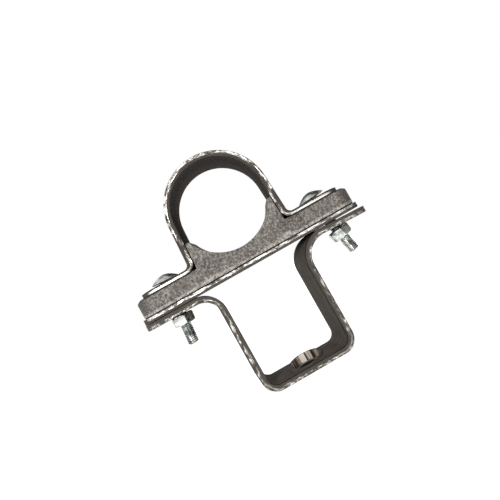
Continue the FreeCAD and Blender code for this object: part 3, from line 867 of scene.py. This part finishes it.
def cast_iron_skin():
    """Grey cast iron as it leaves the sand: a fine grainy skin and no gloss, with a painted highlight in
    patches along its lower edge and painted shade in its joints and on its rounded ends.
    """
    material, tree = new_material("sand_cast_iron")
    place = add(tree, "TexCoord").outputs["Object"]
    along, up, _ = add(tree, "SeparateXYZ", None, {0: bar_coordinate(tree)}).outputs
    grain = noise(tree, {"Vector": place, "Scale": 780.0, "Detail": 5.0, "Roughness": 0.62})
    cloud = noise(tree, {"Vector": place, "Scale": 95.0, "Detail": 4.0, "Roughness": 0.6})
    pores = add(tree, "TexVoronoi", None, {"Vector": place, "Scale": 620.0}).outputs["Distance"]
    both = maths(tree, "MULTIPLY_ADD", {0: cloud, 1: 0.35, 2: grain})
    colour = ramp(tree, both, [(0.5, "#433e39"), (0.68, "#736e68"), (0.86, "#a5a099")])

    reach = maths(tree, "ABSOLUTE", {0: along})
    # Painted shade with dirt in the joint under the strap's feet: the foot and past masks keep seam, a dark
    # line along the top edge, to where the feet lie
    foot = remap(tree, {0: reach, 1: BORE_RADIUS + 3, 2: BORE_RADIUS + 6})
    past = remap(tree, {0: reach, 1: UPPER_TIP - 4, 2: UPPER_TIP - 1, 3: 1.0, 4: 0.0})
    foot = maths(tree, "MULTIPLY", {0: foot, 1: past})
    top = SADDLE_TOP - SADDLE_BOTTOM
    seam = remap(tree, {0: up, 1: top - 1.1, 2: top - 0.5, 3: 0.0, 4: 0.95})
    seam = maths(tree, "MULTIPLY", {0: foot, 1: seam})
    # Painted shade on the rounded ends: darker (#453e3b) over their last millimetres, with a ragged start
    reach = maths(tree, "MULTIPLY_ADD", {0: cloud, 1: 12.0, 2: reach})
    ends = remap(tree, {0: reach, 1: SADDLE_TIP - 5, 2: SADDLE_TIP, 3: 0.0, 4: 0.7})
    colour = mix(tree, {0: ends, 6: colour, 7: linear("#453e3b")})
    # Painted highlight: a lighter band (#bfb9b1) low on the front face, just above the bottom corner, broken
    # into patches by the grain
    low = remap(tree, {0: up, 1: 0.35, 2: 0.7})
    high = remap(tree, {0: up, 1: 1.3, 2: 1.8, 3: 1.0, 4: 0.0})
    worn = remap(tree, {0: grain, 1: 0.42, 2: 0.58, 3: 0.2, 4: 0.85})
    rim = maths(tree, "MULTIPLY", {0: low, 1: high})
    rim = maths(tree, "MULTIPLY", {0: rim, 1: worn})
    colour = mix(tree, {0: rim, 6: colour, 7: linear("#bfb9b1")})
    # Painted shade at the bottom corner, where the saddle sits on the plate, joined with the painted shade of
    # seam under the feet
    joint_shade = remap(tree, {0: up, 1: 0.25, 2: 0.5, 3: 0.95, 4: 0.0})
    joint_shade = maths(tree, "MAXIMUM", {0: joint_shade, 1: seam})
    colour = mix(tree, {0: joint_shade, 6: colour, 7: linear("#1a1715")})
    height = maths(tree, "MULTIPLY_ADD", {0: pores, 1: 0.6, 2: grain})
    surface(tree, 0.6, 0.0005, height, {
        "Base Color": colour, "Metallic": 0.15, "Roughness": 0.66, "Specular IOR Level": 0.3})
    return material


def drawn_steel():
    """Wall of the drawn hole: steel polished by the punch in upright stripes, bright beside brown, whose
    bright stops are painted highlights, with a painted highlight stripe on the rear wall.
    """
    material, tree = new_material("punch_drawn_steel")
    place = add(tree, "TexCoord").outputs["Object"]
    place = vector(tree, "MULTIPLY", {0: place, 1: (1.0, 1.0, 0.0)})
    stripes = noise(tree, {"Vector": place, "Scale": 420.0, "Detail": 2.0})
    # Painted highlight: a bright upright stripe on the rear wall of the drawn hole, added to the stripes
    off = vector(tree, "DISTANCE", {0: place, 1: [v * MM for v in REAR_WALL_HIGHLIGHT_MM]})
    rub_and_highlight = remap(tree, {0: off, 1: 0.0012, 2: 0.0022, 3: 0.6, 4: 0.0})
    level = maths(tree, "ADD", {0: stripes, 1: rub_and_highlight})
    # The stripes run from dark brown to near white; their bright stops are painted highlights on the
    # punch-polished wall
    colour = ramp(tree, level, [(0.42, "#33271f"), (0.5, "#8a7d72"), (0.57, "#c9bdb0"), (0.68, "#fff6e8")])
    surface(tree, 0.3, 0.0002, stripes, {"Base Color": colour, "Metallic": 0.15, "Roughness": 0.4})
    return material


def zinc_plate():
    """Bright zinc plating on a cold-headed bolt and nut: greyish white, fine spangle, and large dark and
    light patches that are painted reflections.
    """
    material, tree = new_material("bright_zinc_plate")
    place = add(tree, "TexCoord").outputs["Object"]
    cloud = noise(tree, {"Vector": place, "Scale": 190.0, "Detail": 4.0, "Roughness": 0.55})
    fine = noise(tree, {"Vector": place, "Scale": 1900.0, "Detail": 3.0})
    # Painted reflections: patches from dark grey to near white, as if the plating mirrored a dark and bright
    # room
    colour = ramp(tree, cloud, [(0.38, "#676c69"), (0.45, "#a3a7a4"), (0.52, "#c9ccc7"), (0.6, "#e6e7e1")])
    roughness = remap(tree, {0: cloud, 1: 0.3, 2: 0.7, 3: 0.28, 4: 0.14})
    surface(tree, 0.1, 0.0001, fine, {"Base Color": colour, "Metallic": 0.85, "Roughness": roughness})
    return material


def white_world():
    """Room that is white to the eye. Metal sees a dim wall at the front right and a dark one behind."""
    world = bpy.data.worlds.new("studio")
    bpy.context.scene.world = world
    world.use_nodes = True
    tree = world.node_tree
    tree.nodes.clear()
    rays = add(tree, "LightPath")
    way = add(tree, "TexCoord").outputs["Generated"]
    towards = vector(tree, "DOT_PRODUCT", {0: way, 1: (0.66, -0.7, 0.28)})
    room = remap(tree, {0: towards, 1: 0.1, 2: 0.85, 3: 1.0, 4: 0.2})
    towards = vector(tree, "DOT_PRODUCT", {0: way, 1: (0.3, 0.84, 0.45)})
    wall = remap(tree, {0: towards, 1: 0.74, 2: 0.88, 3: 1.0, 4: 0.05})
    room = maths(tree, "MULTIPLY", {0: room, 1: wall})
    level = remap(tree, {0: rays.outputs["Is Glossy Ray"], 3: 0.2, 4: room})
    seen = maths(tree, "MAXIMUM", {
        0: rays.outputs["Is Camera Ray"], 1: rays.outputs["Is Transmission Ray"]})
    level = remap(tree, {0: seen, 3: level, 4: 1.0})
    sky = add(tree, "Background", None, {"Color": WHITE, "Strength": level})
    add(tree, "OutputWorld", None, {"Surface": sky.outputs[0]})


def paper_floor():
    """Plain pale floor, white to the eye and in reflections, which keeps the shadow.

    Its white glow grows with the distance, so no horizon shows. Under the drawn hole the paper has a
    painted shadow: it is dark and has no glow, because the photograph shows no white floor through the hole.
    """
    material, tree = new_material("matt_paper_floor")
    rays = add(tree, "LightPath")
    place = add(tree, "TexCoord").outputs["Object"]
    away = vector(tree, "LENGTH", {0: place})
    level = remap(tree, {0: away, 1: 0.15, 2: 0.6, 3: 0.72, 4: 1.0})
    # Painted shadow: under the drawn hole the paper turns dark (#2b2622) and loses its glow
    under = vector(tree, "DISTANCE", {
        0: place, 1: (FORMED_HOLE_X * MM, 0.0, LOWER_BOTTOM * MM)})
    clear_of_painted_shadow = remap(tree, {
        0: under, 1: FORMED_HOLE_RADIUS * MM, 2: HALF_WIDTH * MM})
    tone = mix(tree, {
        0: clear_of_painted_shadow, 6: linear("#2b2622"), 7: linear("#f4f4f2")})
    paper = add(tree, "BsdfDiffuse", None, {"Color": tone})
    level = maths(tree, "MULTIPLY", {0: clear_of_painted_shadow, 1: level})
    seen = maths(tree, "MAXIMUM", {
        0: rays.outputs["Is Camera Ray"], 1: rays.outputs["Is Glossy Ray"]})
    level = maths(tree, "MULTIPLY", {0: seen, 1: level})
    glow = add(tree, "Emission", None, {"Color": WHITE, "Strength": level})
    both = add(tree, "AddShader", None, {0: paper.outputs[0], 1: glow.outputs[0]})
    add(tree, "OutputMaterial", None, {"Surface": both.outputs[0]})
    reach = 2.0
    floor_z = LOWER_BOTTOM * MM
    mesh = bpy.data.meshes.new("floor")
    mesh.from_pydata([(-reach, -reach, floor_z), (reach, -reach, floor_z), (reach, reach, floor_z),
                      (-reach, reach, floor_z)], [], [(0, 1, 2, 3)])
    mesh.materials.append(material)
    floor = bpy.data.objects.new("floor", mesh)
    bpy.context.scene.collection.objects.link(floor)


def soft_lamps():
    """Three round soft lamps aimed at the clamp, as name, place, size and power. The last doesn't reflect."""
    for name, place, size, power in (("key_lamp", (-0.4, -1.15, 0.4), 0.5, 12.5),
                                     ("fill_lamp", (0.8, -0.9, 0.15), 0.6, 1.0),
                                     ("back_lamp", (0.1, 0.9, 0.9), 0.7, 7.0)):
        data = bpy.data.lights.new(name, "AREA")
        data.shape = "DISK"
        data.size = size
        data.energy = power
        lamp = bpy.data.objects.new(name, data)
        lamp.visible_glossy = name != "back_lamp"
        bpy.context.scene.collection.objects.link(lamp)
        aim = -np.array(place) + np.array([0.0, 0.0, -0.04])
        back = -aim / np.linalg.norm(aim)
        right = np.cross([0.0, 0.0, 1.0], back)
        right = right / np.linalg.norm(right)
        up = np.cross(back, right)
        turn = Matrix(np.stack([right, up, back], 1).tolist()).to_4x4()
        lamp.matrix_world = Matrix.Translation(place) @ turn


def dress():
    """Make every piece, let it ride on its body and stand for its solid."""
    upper_middle = path_length(upper_path()) / 2
    lower_middle = path_length(lower_path()) / 2
    # Painted shade bands: towards the front of the upper ring's inner face, and along the front rims of the
    # plate and the lower strap
    upper_steel = rolled_steel("hot_rolled_upper_bar", ("#261e19", "#453a33", "#645a52"),
                               ("#2b2623", "#5f5953", "#a8a29b", "#f4f0ea"), UPPER_THICKNESS, upper_middle,
                               ring_reach=56.0, foot_reach=81.0, dark_tip=upper_middle - 9.0, rubbed=0.57,
                               shade_band=(-15.0, -8.0, -2.0, 10.0, 0.1), seed=1)
    plate_steel = rolled_steel("hot_rolled_plate", ("#2a2624", "#46413d", "#77716a"),
                               ("#2e2a27", "#6d6761", "#b4aea7", "#f6f2ec"), PLATE_TOP - PLATE_BOTTOM, 0.0,
                               ring_reach=500.0, foot_reach=900.0, dark_tip=PLATE_TIP - 7.0, rubbed=0.56,
                               shade_band=(-16.0, -15.2, -14.8, -14.0, 1.0), seed=2)
    lower_steel = rolled_steel("hot_rolled_lower_bar", ("#3f3a35", "#5d5750", "#807a71"),
                               ("#2c2926", "#6c665f", "#a09a92", "#efebe5"), LOWER_THICKNESS, lower_middle,
                               ring_reach=-50.0, foot_reach=900.0, dark_tip=lower_middle - 7.0, rubbed=0.62,
                               shade_band=(-16.0, -15.2, -14.6, -13.0, 1.0), seed=3)
    drawn = drawn_steel()
    zinc = zinc_plate()
    made = [
        (upper_strap([upper_steel]), "upper_strap", "strap_steel"),
        (saddle([cast_iron_skin()]), "saddle", "saddle_iron"),
        (base_plate([plate_steel]), "base_plate", "strap_steel"),
        (lower_strap([lower_steel, drawn]), "lower_strap", "strap_steel"),
        (carriage_bolt(-1, zinc), "left_bolt", "zinc_fastener"),
        (carriage_bolt(1, zinc), "right_bolt", "zinc_fastener"),
        (hexagon_nut(-1, zinc), "left_nut", "zinc_fastener"),
        (hexagon_nut(1, zinc), "right_nut", "zinc_fastener"),
    ]
    for piece, node, slot in made:
        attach(piece, node)
        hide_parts(node)


make_camera()
bpy.context.scene.view_settings.view_transform = "Standard"
white_world()
paper_floor()
soft_lamps()
dress()
